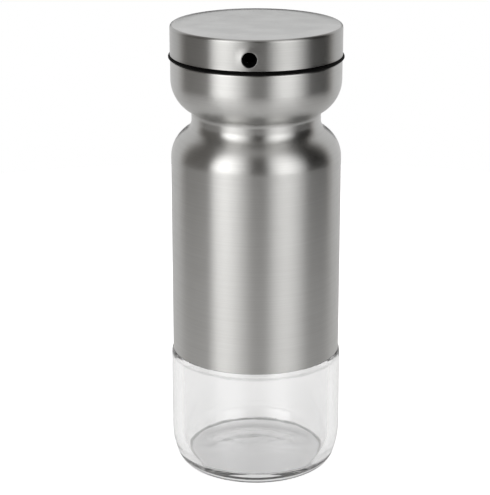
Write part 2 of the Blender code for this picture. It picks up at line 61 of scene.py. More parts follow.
GLASS_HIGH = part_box("glass_bottle")[1]
SLEEVE_LOW, SLEEVE_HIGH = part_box("steel_sleeve")
GASKET_LOW, GASKET_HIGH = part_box("rim_gasket")
COLLAR_LOW, COLLAR_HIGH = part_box("neck_collar")
PLUG_LOW, PLUG_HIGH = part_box("pour_plug")
SHELL_LOW, SHELL_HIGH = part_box("cap_shell")
RING_BOXES = {name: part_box(name) for name in ("stem_ring_upper", "stem_ring_lower")}

SAME_POINT = 1e-6           # points closer than this are one
SHARP_ANGLE = math.radians(35)
FRONT, REAR = -1, 1         # sides of a wall along Y
ORIGIN, UPWARDS = (0, 0, 0), (0, 0, 1)
CORNER_STEPS, HOLE_EDGE_STEPS = 4, 3                        # faces across a rounded edge
RIPPLES = ((1.0, 3, 0.7), (0.6, 7, 2.1), (0.4, 13, 4.0))    # height, waves round, start
LIGHT_BOUNCES = 40          # light runs along thick glass in many reflections before it comes out


def linear(code):
    """An sRGB hex colour as linear values."""
    values = [int(code[place:place + 2], 16) / 255 for place in (0, 2, 4)]
    return [v / 12.92 if v <= 0.04045 else ((v + 0.055) / 1.055) ** 2.4 for v in values]


def length(name, description, default):
    return FloatProperty(name=name, description=description, default=default, min=0.0,
                         unit="LENGTH", precision=5)


def angle(name, description, degrees):
    return FloatProperty(name=name, description=description, default=math.radians(degrees),
                         subtype="ANGLE")


def share(name, description, default):
    return FloatProperty(name=name, description=description, default=default, min=0.0, max=1.0,
                         subtype="FACTOR")


def level(name, description, default):
    return FloatProperty(name=name, description=description, default=default, min=0.0)


def colour(name, description, code):
    return FloatVectorProperty(name=name, description=description, default=linear(code), size=3,
                               min=0.0, max=1.0, subtype="COLOR")


class BottleSizes(PropertyGroup):
    """Glass bottle."""
    foot_radius: length("Foot radius", "Outside of the foot", GLASS_HIGH.x)
    foot_height: length("Foot height", "Table to the ledge under the sleeve", 0.04725)
    ledge_round: length("Ledge round", "Curve with which the side turns in to the ledge", 0.0060)
    ledge_show: length("Ledge show", "Ledge beyond the sleeve", 0.0001)
    # The seam below the ledge is painted shade: a grey line that stands for the shade where the
    # ledge's round turns into the side.
    seam_shade_drop: length("Seam drop", "Ledge to the mould's seam on the side", 0.0019)
    seam_shade_width: length("Seam width", "Width of that seam", 0.0009)
    ledge_root: length("Ledge root", "Hollow corner where the body rises from the ledge", 0.0002)
    flank_radius: length("Flank radius", "Curve with which the side turns in", 0.0280)
    flank_angle: angle("Flank angle", "How far the flank turns", 21)
    heel_radius: length("Heel radius", "Curve with which the side turns under", 0.0075)
    ring_width: length("Ring width", "Flat ring that touches the table", 0.0030)
    push_up: length("Push-up", "Hollow under the base, at the middle", 0.0008)
    push_up_edge: length("Push-up edge", "Rounding round the hollow", 0.0020)
    body_radius: length("Body radius", "Outside of the glass in the sleeve", 0.0311)
    wall: length("Wall", "Thickness of the body's wall", 0.0026)
    floor: length("Floor", "Thickness of the floor", 0.0053)
    floor_round: length("Floor round", "Hollow corner round the floor", 0.0010)
    inner_flank: length("Inner flank", "Curve with which the inside turns in", 0.0240)
    inner_flank_angle: angle("Inner flank angle", "How far the inside's flank turns", 22)
    shoulder_radius: length("Shoulder radius", "Curve in to the neck", 0.0114)
    shoulder_fillet: length("Shoulder fillet", "Curve up into the neck", 0.0060)
    neck_radius: length("Neck radius", "Outside of the neck", 0.02055)
    neck_wall: length("Neck wall", "Thickness of the neck", 0.0030)
    bead_proud: length("Bead proud", "How far the snap bead stands out", 0.0010)
    bead_height: length("Bead height", "Height of the snap bead", 0.0024)
    bead_drop: length("Bead drop", "Mouth to the middle of the bead", 0.0045)
    mouth_round: length("Mouth round", "Rounded edge of the mouth", 0.0009)
    ripple: length("Ripple", "Uneven line of the pressed floor's edge", 0.00018)


class SleeveSizes(PropertyGroup):
    """Drawn steel sleeve."""
    radius: length("Radius", "Outside of the tube", SLEEVE_HIGH.x)
    sheet: length("Sheet", "Thickness of the steel", 0.0005)
    tube: length("Tube", "Straight part below the shoulder", 0.0761)
    shoulder_radius: length("Shoulder radius", "Curve in to the waist", 0.0123)
    shoulder_fillet: length("Shoulder fillet", "Curve up into the waist", 0.0044)
    waist_depth: length("Waist depth", "How far the waist is drawn in", 0.00775)
    waist: length("Waist", "Straight part of the waist", 0.0019)
    bowl_fillet: length("Bowl fillet", "Curve out of the waist", 0.0027)
    bowl_radius: length("Bowl radius", "Curve up to the collar", 0.0136)
    collar: length("Collar", "Straight part above the bowl", 0.0077)
    rim_round: length("Rim round", "Curve in to the rim's flange", 0.0008)
    rim_hole: length("Rim hole", "Hole in the rim's flange", 0.02435)
    edge: length("Edge", "Rounding of the lower cut edge", 0.00015)


class HeadSizes(PropertyGroup):
    """Neck collar, gasket and pour plug."""
    collar_bore: length("Collar bore", "Collar's inside below the lip", 0.02085)
    collar_groove: length("Collar groove", "Groove for the neck's snap bead", 0.02185)
    collar_radius: length("Collar radius", "Collar's outside below the flange", 0.02405)
    groove_drop: length("Groove drop", "Collar's flange to the middle of its groove", 0.0088)
    groove_half: length("Groove half", "Half the height of the groove", 0.0015)
    flange: length("Flange", "Thickness of the collar's flange", 0.0010)
    lip_bore: length("Lip bore", "Inside of the collar's lip", 0.01835)
    lip_depth: length("Lip depth", "Top of the flange to the underside of the lip", 0.0031)
    notch_depth: length("Notch depth", "Key notch below the flange's top", 0.0019)
    notch_reach: length("Notch reach", "Key notch from the axis", 0.02025)
    notch_width: length("Notch width", "Width of a key notch", 0.0050)
    stem_radius: length("Stem radius", "Outside of the plug's stem", 0.01705)
    stem_bore: length("Stem bore", "Bore of the plug's stem", 0.01345)
    drum_bore: length("Drum bore", "Inside of the plug's drum", 0.0269)
    drum_floor: length("Drum floor", "Thickness of the drum's floor", 0.0010)
    stem_length: length("Stem length", "Stem below the drum", 0.0195)
    key_width: length("Key width", "Width of a key on the stem", 0.0040)
    key_height: length("Key height", "Height of a key below the drum", 0.0018)
    key_reach: length("Key reach", "Key's end from the axis", 0.01995)
    ring_groove: length("Ring groove", "Bottom of the stem's ring grooves", 0.0150)
    ring_groove_half: length("Ring groove half", "Half the height of a ring groove", 0.0014)
    port_radius: length("Port radius", "Seat of the outlet's seal", 0.0030)
    vent_radius: length("Vent radius", "Seat of the air hole's seal", 0.0019)
    soft_edge: length("Soft edge", "Rounding of moulded edges", 0.00025)
    gasket_bore: length("Gasket bore", "Inside of the rim gasket", 0.0292)
    gasket_round: length("Gasket round", "Rounded outside of the rim gasket", 0.0004)


class CapSizes(PropertyGroup):
    """Drawn steel cap."""
    radius: length("Radius", "Outside of the cap", 0.0321)
    sheet: length("Sheet", "Thickness of the steel", 0.0006)
    edge_inside: length("Edge inside", "Inside curve from the side to the top", 0.0006)
    dome_radius: length("Dome radius", "Curve with which the top falls off near its edge", 0.0570)
    dome_angle: angle("Dome angle", "Slope of the top at its edge", 6.5)
    skirt: length("Skirt", "How far the side reaches below the liner's hem", 0.0006)
    hem: length("Hem", "Height of the flared lower edge", 0.0005)
    hem_flare: length("Hem flare", "How far the lower edge flares out", 0.00007)
    hem_edge: length("Hem edge", "Rounding of the lower cut edge", 0.00012)
    hole: length("Hole", "Radius of the pour hole", 0.0028)
    hole_height: length("Hole height", "Table to the middle of the pour hole", 0.16645)
    hole_edge: length("Hole edge", "Rounding of the pour hole's edge", 0.00012)
    vent: length("Vent", "Radius of the air hole at the rear", 0.0008)
    swell: length("Swell", "How far the steel is pushed out at the pour hole", 0.00060)
    swell_radius: length("Swell radius", "How far round the hole the steel is pushed out", 0.0056)
    swell_middle: share("Swell middle", "Share of the swell above the hole, less than on the left",
                        0.55)


class Finishes(PropertyGroup):
    """Colours and surfaces."""
    steel: colour("Steel", "Brushed stainless steel", "C9C9C7")
    steel_dark: colour("Steel, dark", "Bottom of the brushing lines", "B9B8B6")
    # The cap's steel is a darker copy of the sleeve's: painted shade for the dimmer light round the
    # cap.
    cap_shaded_steel: colour("Cap steel", "The cap's brushed steel, a little duller", "B9B9B7")
    cap_shaded_steel_dark: colour("Cap steel, dark", "Bottom of the cap's brushing lines", "AAA9A7")
    steel_roughness: share("Steel roughness", "Sheen of the brushed steel", 0.31)
    steel_vary: share("Steel variation", "How far that sheen varies from line to line", 0.03)
    steel_grain: share("Steel grain", "How far the brushing stretches a reflection", 0.85)
    # The top's colours are paler than the cap's side of the same sheet: painted light for the
    # brighter backdrop the top reflects.
    satin: colour("Satin steel", "The cap's satin top", "DBDBDA")
    satin_dark: colour("Satin steel, dark", "Cloudy patches of the cap's top", "CACAC9")
    satin_roughness: share("Satin roughness", "Sheen of the cap's top", 0.21)
    satin_vary: share("Satin variation", "How far that sheen varies from patch to patch", 0.02)
    line: length("Line", "Spacing of the brushing lines", 0.00035)
    line_run: length("Line run", "Length of a brushing line", 0.030)
    glass: colour("Glass", "Clear soda-lime glass", "FAFAFA")
    # The seam colour is painted shade: thin grey lines for the heel's shadow on the table seen
    # through the floor, and for the shade below the ledge.
    seam_shade: colour("Glass seam", "Frosted line round the floor", "7A7A7A")
    seam_roughness: share("Seam roughness", "Frost of the glass seams", 0.3)
    ledge_seam_shade: share("Ledge seam", "Strength of the seam below the ledge", 0.40)
    glass_ior: level("Glass refraction", "Index of refraction of the glass", 1.52)
    plastic: colour("Plastic", "Black polypropylene", "121213")
    silicone: colour("Silicone", "Black silicone rubber", "040404")
    screw: colour("Screw steel", "Bright turned steel", "C6C5C2")


class Softbox:
    """What the two flat upright lamps share."""
    distance: length("Distance", "From the bottle's axis", 0.62)
    low: length("Low edge", "Table to the lamp's lower edge", 0.03)
    tall: length("Height", "Height of the lamp", 1.05)
    top_share: share("Top share", "Brightness at the top, against the lower edge", 0.4)


class LeftSoftbox(Softbox, PropertyGroup):
    """Lamp on the left."""
    turn: angle("Turn", "To the right of the camera, seen from the bottle", -33)
    width: length("Width", "Width of the lamp", 0.745)
    lean: level("Lean", "Where it is brightest: 1 is the middle, less is left", 0.625)
    falloff: level("Falloff", "How fast the lamp fades to its sides", 1.5)
    brightness: level("Brightness", "Brightness of the lamp at its brightest", 3.0)


class RightSoftbox(Softbox, PropertyGroup):
    """Lamp on the right."""
    turn: angle("Turn", "To the right of the camera, seen from the bottle", 44)
    width: length("Width", "Width of the lamp", 0.775)
    lean: level("Lean", "Where it is brightest: 1 is the middle, less is left", 0.84)
    falloff: level("Falloff", "How fast the lamp fades to its sides", 1.5)
    brightness: level("Brightness", "Brightness of the lamp at its brightest", 2.36)


class Studio(PropertyGroup):
    """Camera and light."""
    lens: FloatProperty(name="Lens", description="Focal length", default=133.14, unit="CAMERA")
    azimuth: angle("Azimuth", "Camera to the right of the pour hole", 4.4)
    distance: length("Distance", "Camera to the bottle's axis, level", 0.6686)
    height: length("Height", "Camera above the table", 0.2994)
    pitch: angle("Pitch", "Camera's tilt down", 17.633)
    pan: angle("Pan", "Camera's turn to the left of the axis", 0.359)
    table_radius: length("Table radius", "White table top", 0.45)
    table: share("Table", "Whiteness of the table top", 0.82)
    table_roughness: share("Table roughness", "Sheen of the table top", 0.3)
    table_gloss: share("Table gloss", "Strength of the table's reflections", 1.0)
    table_ior: level("Table refraction", "Index of refraction of the table's lacquer", 1.8)
    table_white: share("Table white", "Glow that makes the table white to the camera", 0.82)
    table_glow: share("Table glow", "Glow of the table in reflections", 0.15)
    table_through: share("Table through glass", "More of the same glow, seen through glass", 0.25)
    room_tint: colour("Room tint", "Colour of the room in front", "FFF8F0")
    room_left: share("Room left", "Brightness of the room in front, to the left", 0.16)
    room_right: share("Room right", "Brightness of the room in front, to the right", 0.01)
    backdrop: share("Backdrop", "Brightness of the backdrop", 0.74)
    backdrop_start: share("Backdrop start", "Where it begins to show, 1 is straight behind", 0.25)
    backdrop_end: share("Backdrop end", "Where it is fully bright, 1 is straight behind", 0.65)
    ceiling: share("Ceiling", "Brightness of the ceiling", 0.55)
    ceiling_start: share("Ceiling start", "Where it begins to show, 1 is straight up", 0.8)
    ceiling_end: share("Ceiling end", "Where it is fully bright, 1 is straight up", 0.95)
    slot_height: level("Slot height", "Middle of the dark slot behind the table, a slope", 0.03)
    slot_half: level("Slot half", "Half the height of that slot, a slope", 0.09)
    slot_reach: angle("Slot reach", "How far the slot reaches to each side", 18)


class Cruet(PropertyGroup):
    """Everything that a user may change."""
    sides: IntProperty(name="Sides", description="Sides of a turned piece", default=256, min=32)
    step: angle("Step", "Finest step of a drawn curve", 4)
    bottle: PointerProperty(type=BottleSizes)
    sleeve: PointerProperty(type=SleeveSizes)
    head: PointerProperty(type=HeadSizes)
    cap: PointerProperty(type=CapSizes)
    finishes: PointerProperty(type=Finishes)
    studio: PointerProperty(type=Studio)
    left_softbox: PointerProperty(type=LeftSoftbox)
    right_softbox: PointerProperty(type=RightSoftbox)


def spin(bm, turn, steps):
    """Turn a section about Z into a wall."""
    bmesh.ops.spin(bm, geom=bm.verts[:] + bm.edges[:], cent=ORIGIN, axis=UPWARDS, dvec=ORIGIN,
                   angle=turn, steps=steps, use_duplicate=False)


def copy_turned(bm, turn):
    """Copy all faces and turn the copy about Z."""
    made = bmesh.ops.duplicate(bm, geom=bm.faces[:])["geom"]
    bmesh.ops.rotate(bm, cent=ORIGIN, matrix=Matrix.Rotation(turn, 3, "Z"),
                     verts=[item for item in made if isinstance(item, bmesh.types.BMVert)])


class Pen:
    """Draws the half section of a turned piece in the XZ plane, one bmesh operator a stroke."""

    def __init__(self, cruet, radius, height, heading=90, soft=0.0):
        self.sides = cruet.sides
        self.step = cruet.step
        self.bm = bmesh.new()
        self.soft = []
        self.start = self.tip = self.bm.verts.new((radius, 0, height))
        self.heading = math.radians(heading)
        self.soften(soft)

    def soften(self, size):
        """Round this corner when the section is done."""
        if size:
            self.soft.append((self.tip, size))

    def to(self, radius, height, soft=0.0):
        """Straight on to a point."""
        self.tip = bmesh.ops.extrude_vert_indiv(self.bm, verts=[self.tip])["verts"][0]
        self.tip.co = (radius, 0, height)
        self.soften(soft)

    def go(self, run, pieces=1):
        """Straight ahead."""
        ahead = Vector((math.cos(self.heading), 0, math.sin(self.heading))) * run / pieces
        for _ in range(pieces):
            point = self.tip.co + ahead
            self.to(point.x, point.z)

    def bend(self, turn, radius):
        """Round a bend, to the left for a positive angle."""
        side = self.heading + math.copysign(math.pi / 2, turn)
        centre = self.tip.co + Vector((math.cos(side), 0, math.sin(side))) * radius
        steps = max(3, math.ceil(abs(turn) / self.step))
        made = bmesh.ops.spin(self.bm, geom=[self.tip], cent=centre, axis=(0, -1, 0),
                              dvec=ORIGIN, angle=turn, steps=steps, use_duplicate=False)
        self.tip = made["geom_last"][0]
        self.heading += turn

    def s_bend(self, turn, first, second):
        """Two bends that cancel out, the first to the left for a positive angle."""
        self.bend(turn, first)
        self.bend(-turn, second)

    def drawn(self):
        """Close the section, unless it ends on the axis, and round its corners."""
        if self.start.co.x > SAME_POINT:
            self.bm.edges.new((self.tip, self.start))
        for corner, size in self.soft:
            bmesh.ops.bevel(self.bm, geom=[corner], offset=size, offset_type="OFFSET",
                            segments=CORNER_STEPS, profile=0.5, affect="VERTICES", material=-1)
        return self.bm

    def spun(self):
        """Turn the section about Z into a closed solid."""
        bm = self.drawn()
        spin(bm, math.tau / 8, self.sides // 8)
        for turn in (math.tau / 8, math.tau / 4, math.tau / 2):
            copy_turned(bm, turn)
        bmesh.ops.remove_doubles(bm, verts=bm.verts, dist=SAME_POINT)
        bmesh.ops.recalc_face_normals(bm, faces=bm.faces)
        return bm


def turn_for(change, first, second):
    """Turn of each of two bends that together shift an upright wall sideways by change."""
    return math.acos(1 - change / (first + second))


def pierce(bm, side, height, bore, inner, outer, half_width, low, high, rings, edge=0.0):
    """Round hole through a turned wall, in rings of faces that meet the wall's own grid."""
    window = []
    for face in bm.faces:
        middle = face.calc_center_median()
        beside = abs(math.atan2(middle.x, side * middle.y)) * outer < half_width
        in_wall = inner - SAME_POINT < max(vert.co.xy.length for vert in face.verts)
        if beside and in_wall and low < middle.z < high and abs(face.normal.z) < 0.5:
            window.append(face)
    bmesh.ops.delete(bm, geom=window, context="FACES")
    open_edges = [item for item in bm.edges if item.is_boundary]
    spokes = []
    for radius in (inner, outer):
        loop = [item for item in open_edges
                if abs(item.verts[0].co.xy.length - radius) < (outer - inner) / 2]
        circle = bmesh.ops.create_circle(bm, segments=len(loop), radius=bore)["verts"]
        rim = list({item for vert in circle for item in vert.link_edges})
        for vert in circle:
            around = vert.co.x / radius
            vert.co = (radius * math.sin(around), side * radius * math.cos(around),
                       height + vert.co.y)
        spokes += bmesh.ops.bridge_loops(bm, edges=loop + rim)["edges"]
    made = bmesh.ops.subdivide_edges(bm, edges=spokes, cuts=rings, use_grid_fill=True)["geom_inner"]
    for vert in (item for item in made if isinstance(item, bmesh.types.BMVert)):
        out = vert.co.xy.length
        vert.co.xy *= (inner if abs(out - inner) < abs(out - outer) else outer) / out
    rims = [item for item in bm.edges if item.is_boundary]
    bmesh.ops.bridge_loops(bm, edges=rims)
    bmesh.ops.recalc_face_normals(bm, faces=bm.faces)
    if edge:
        outside = [item for item in rims if item.verts[0].co.xy.length > (inner + outer) / 2]
        bmesh.ops.bevel(bm, geom=outside, offset=edge, offset_type="OFFSET",
                        segments=HOLE_EDGE_STEPS, profile=0.5, affect="EDGES", material=-1)


def place(name, bm, material, body, slot, *nodes):
    """Make a finished piece that stands for CAD nodes and rides on their body."""
    mesh = bpy.data.meshes.new(name)
    bm.to_mesh(mesh)
    bm.free()
    mesh.shade_smooth()
    mesh.set_sharp_from_angle(angle=SHARP_ANGLE)
    mesh.materials.append(material)
    piece = bpy.data.objects.new(name, mesh)
    bpy.context.scene.collection.objects.link(piece)
    even = piece.modifiers.new("Even normals", "WEIGHTED_NORMAL")
    even.keep_sharp = True
    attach(piece, body)
    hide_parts(*nodes)
    return piece


def add(tree, kind, inputs=None, **settings):
    """Add a shader node with its settings, and set its inputs or link them to sockets or nodes."""
    node = tree.nodes.new("ShaderNode" + kind)
    for name, value in settings.items():
        setattr(node, name, value)
    for key, value in (inputs or {}).items():
        if isinstance(value, bpy.types.Node):
            value = next(socket for socket in value.outputs if socket.enabled)
        if isinstance(value, bpy.types.NodeSocket):
            tree.links.new(value, node.inputs[key])
        else:
            node.inputs[key].default_value = value
    return node


def finish(name):
    """Let a function that lays down a shader's nodes give the material of this name, made once."""
    def named(lay):
        def give(*details):
            material = bpy.data.materials.get(name)
            if not material:
                material = bpy.data.materials.new(name)
                material.use_nodes = True
                tree = material.node_tree
                tree.nodes.clear()
                add(tree, "OutputMaterial", {"Surface": lay(tree, *details)})
            return material
        return give
    return named


def object_point(tree):
    return add(tree, "TexCoord").outputs["Object"]


def off_axis(tree, split):
    """How far a point is from the axis, from its separate coordinates."""
    level_point = add(tree, "CombineXYZ", {"X": split.outputs["X"],
                                                     "Y": split.outputs["Y"]})
    return add(tree, "VectorMath", {0: level_point}, operation="LENGTH")


def surface(tree, pattern, spread, colours, gloss, height, relief, more):
    """A shader whose colour and gloss follow one pattern, and its relief the same or another."""
    # spread is what the pattern's values mostly lie between, and relief a strength and a depth.
    strength, depth = relief
    tone = add(tree, "Mix", {"Factor": pattern, 6: (*colours[0], 1), 7: (*colours[1], 1)},
               data_type="RGBA")
    sheen = add(tree, "MapRange", {"Value": pattern, "From Min": spread[0],
                                             "From Max": spread[1], "To Min": gloss[0],
                                             "To Max": gloss[1]})
    bump = add(tree, "Bump", {"Strength": strength, "Distance": depth, "Height": height})
    return add(tree, "BsdfPrincipled",
               {"Base Color": tone, "Roughness": sheen, "Normal": bump, **more})


def clouded(tree, cloud, grain, colours, gloss, relief, more):
    """A shader with wide faint clouds in its colour and gloss, and a fine grain in its relief."""
    # cloud and grain are the width of a patch and how much finer detail is in it.
    point = object_point(tree)
    clouds, grains = [add(tree, "TexNoise", {"Vector": point, "Scale": 1 / size,
                                                       "Detail": detail})
                      for size, detail in (cloud, grain)]
    return surface(tree, clouds, spread=(0.3, 0.7), colours=colours, gloss=gloss, height=grains,
                   relief=relief, more=more)


def brushed(tree, finishes, light, dark):
    """Stainless steel, belt-brushed round the axis."""
    # Lines run round the piece, so a light is drawn out into a band across them, and each line
    # catches it a little brighter or duller than its neighbour. Real lines are finer than a pixel
    # of the render, so these are a third of a millimetre apart, as coarse as they need to show.
    fine, slow = 1 / finishes.line, 1 / finishes.line_run
    split = add(tree, "SeparateXYZ", {0: object_point(tree)})
    around = add(tree, "CombineXYZ", {"X": split.outputs["X"], "Y": split.outputs["Y"],
                                                "Z": off_axis(tree, split)})
    scaled = add(tree, "VectorMath", {0: around, 1: (slow, slow, fine)},
                 operation="MULTIPLY")
    up = add(tree, "Math", {0: split.outputs["Z"], 1: fine}, operation="MULTIPLY")
    lines = add(tree, "TexNoise", {"Vector": scaled, "W": up, "Scale": 1.0, "Detail": 3.0,
                                             "Roughness": 0.6}, noise_dimensions="4D")
    grain = add(tree, "Tangent", direction_type="RADIAL", axis="Z")
    rough, vary = finishes.steel_roughness, finishes.steel_vary
    return surface(tree, lines, spread=(0.25, 0.75), colours=(dark, light),
                   gloss=(rough + vary, rough - vary), height=lines, relief=(0.25, 0.00002),
                   more={"Metallic": 1.0, "Anisotropic": finishes.steel_grain,
                         "Anisotropic Rotation": 0.25, "Tangent": grain})


@finish("Brushed stainless steel")
def brushed_stainless(tree, finishes):
    return brushed(tree, finishes, finishes.steel, finishes.steel_dark)


# A darker copy of the brushed steel for the cap: painted shade, where the cap gets less light than
# the sleeve.
@finish("Brushed stainless steel, cap, painted shade")
def cap_shaded_stainless(tree, finishes):
    return brushed(tree, finishes, finishes.cap_shaded_steel, finishes.cap_shaded_steel_dark)


@finish("Satin stainless steel, painted light")
def satin_lit_stainless(tree, finishes):
    """Stainless steel with the even satin of a fine abrasive pad."""
    # Fine scratches in every direction spread a reflection evenly, so the top is one calm grey with
    # only a faint cloudiness.
    # Its colour, paler than the side's, is painted light for the brighter backdrop that the top
    # reflects.
    rough, vary = finishes.satin_roughness, finishes.satin_vary
    return clouded(tree, cloud=(0.009, 3.0), grain=(0.0004, 2.0),
                   colours=(finishes.satin_dark, finishes.satin),
                   gloss=(rough + vary, rough - vary), relief=(0.15, 0.00002),
                   more={"Metallic": 1.0})


@finish("Clear pressed glass")
def clear_glass(tree, finishes, seams):
    """Pressed soda-lime glass."""
    # Clear and slightly uneven from the mould, so edges seen through it waver by a hair. Two thin
    # lines are rougher and grey: one round the floor, a fainter one below the ledge. The roughness
    # is the mould's seam. The grey is painted shade: it stands for the heel's shadow on the table
    # seen through the floor's edge, and for the shade where the ledge's round turns into the side.
    point = object_point(tree)
    waver, uneven = [add(tree, "TexNoise", {"Vector": point, "Scale": 1 / size,
                                                      "Detail": detail})
                     for size, detail in ((0.014, 1.5), (0.006, 2.0))]
    relief = add(tree, "Bump", {"Strength": 0.35, "Distance": 0.0002, "Height": waver})
    split = add(tree, "SeparateXYZ", {0: point})
    place_in_wall = add(tree, "CombineXYZ", {"X": off_axis(tree, split),
                                                       "Y": split.outputs["Z"]})
    frost_and_shade = 0.0
    for radius, height, width, strength in seams:
        off_seam = add(tree, "VectorMath", {0: place_in_wall, 1: (radius, height, 0)},
                       operation="DISTANCE")
        off_line = add(tree, "Math", {0: uneven, 1: width, 2: off_seam},
                       operation="MULTIPLY_ADD")
        seam = add(tree, "MapRange", {"Value": off_line, "From Min": 1.4 * width,
                                                "From Max": 0.7 * width, "To Max": strength})
        frost_and_shade = add(tree, "Math", {0: seam, 1: frost_and_shade}, operation="MAXIMUM")
    tone = add(tree, "Mix", {"Factor": frost_and_shade, 6: (*finishes.glass, 1),
                                       7: (*finishes.seam_shade, 1)}, data_type="RGBA")
    frost = add(tree, "Math", {0: frost_and_shade, 1: finishes.seam_roughness},
                operation="MULTIPLY")
    return add(tree, "BsdfPrincipled",
               {"Base Color": tone, "Roughness": frost, "IOR": finishes.glass_ior,
                "Transmission Weight": 1.0, "Normal": relief})


@finish("Moulded black polypropylene")
def moulded_polypropylene(tree, finishes):
    """Black polypropylene from a spark-eroded mould."""
    # A fine even grain of about a sixth of a millimetre dulls the gloss to satin.
    deep = [value * 0.8 for value in finishes.plastic]
    return clouded(tree, cloud=(0.006, 3.0), grain=(0.00016, 2.0), colours=(deep, finishes.plastic),
                   gloss=(0.38, 0.50), relief=(0.3, 0.00002), more={"IOR": 1.49})


@finish("Black silicone rubber")
def silicone_rubber(tree, finishes):
    """Black silicone rubber, matt from the mould."""
    # Soft and almost without gloss, with a faint bloom and specks of dust that it holds.
    grey = [value * 1.8 for value in finishes.silicone]
    return clouded(tree, cloud=(0.004, 4.0), grain=(0.0003, 3.0), colours=(finishes.silicone, grey),
                   gloss=(0.50, 0.62), relief=(0.3, 0.00003),
                   more={"IOR": 1.41, "Specular IOR Level": 0.05})


@finish("Bright turned steel")
def turned_steel(tree, finishes):
    """Bright stainless steel from the lathe."""
    # Tool marks 0.3 mm apart run in rings round the axis and give a tight circular sparkle.
    marks = add(tree, "TexWave", {"Vector": object_point(tree), "Scale": 0.3 / 0.0003,
                                            "Distortion": 0.4}, wave_type="RINGS",
                rings_direction="Z").outputs["Fac"]
    deep = [value * 0.85 for value in finishes.screw]
    return surface(tree, marks, spread=(0.0, 1.0), colours=(deep, finishes.screw),
                   gloss=(0.20, 0.34), height=marks, relief=(0.2, 0.00001), more={"Metallic": 1.0})


@finish("White laminate table")
def white_laminate(tree, studio):
    """Glossy white laminate."""
    # White to the camera and in reflections, with a gloss that mirrors the lamps at low angles.
    path = add(tree, "LightPath")
    glow = 0.0
    for ray, strength in (("Is Camera Ray", studio.table_white),
                          ("Is Glossy Ray", studio.table_glow),
                          ("Is Transmission Ray", studio.table_through)):
        glow = add(tree, "Math", {0: path.outputs[ray], 1: strength, 2: glow},
                   operation="MULTIPLY_ADD")
    return add(tree, "BsdfPrincipled",
               {"Base Color": (studio.table,) * 3 + (1,), "Roughness": studio.table_roughness,
                "IOR": studio.table_ior, "Specular IOR Level": studio.table_gloss,
                "Emission Color": (1, 1, 1, 1), "Emission Strength": glow})


def finish_node(name, material):
    """Give a CAD node that is shown as it is a better surface."""
    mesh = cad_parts[name].data
    mesh.materials.clear()
    mesh.materials.append(material)


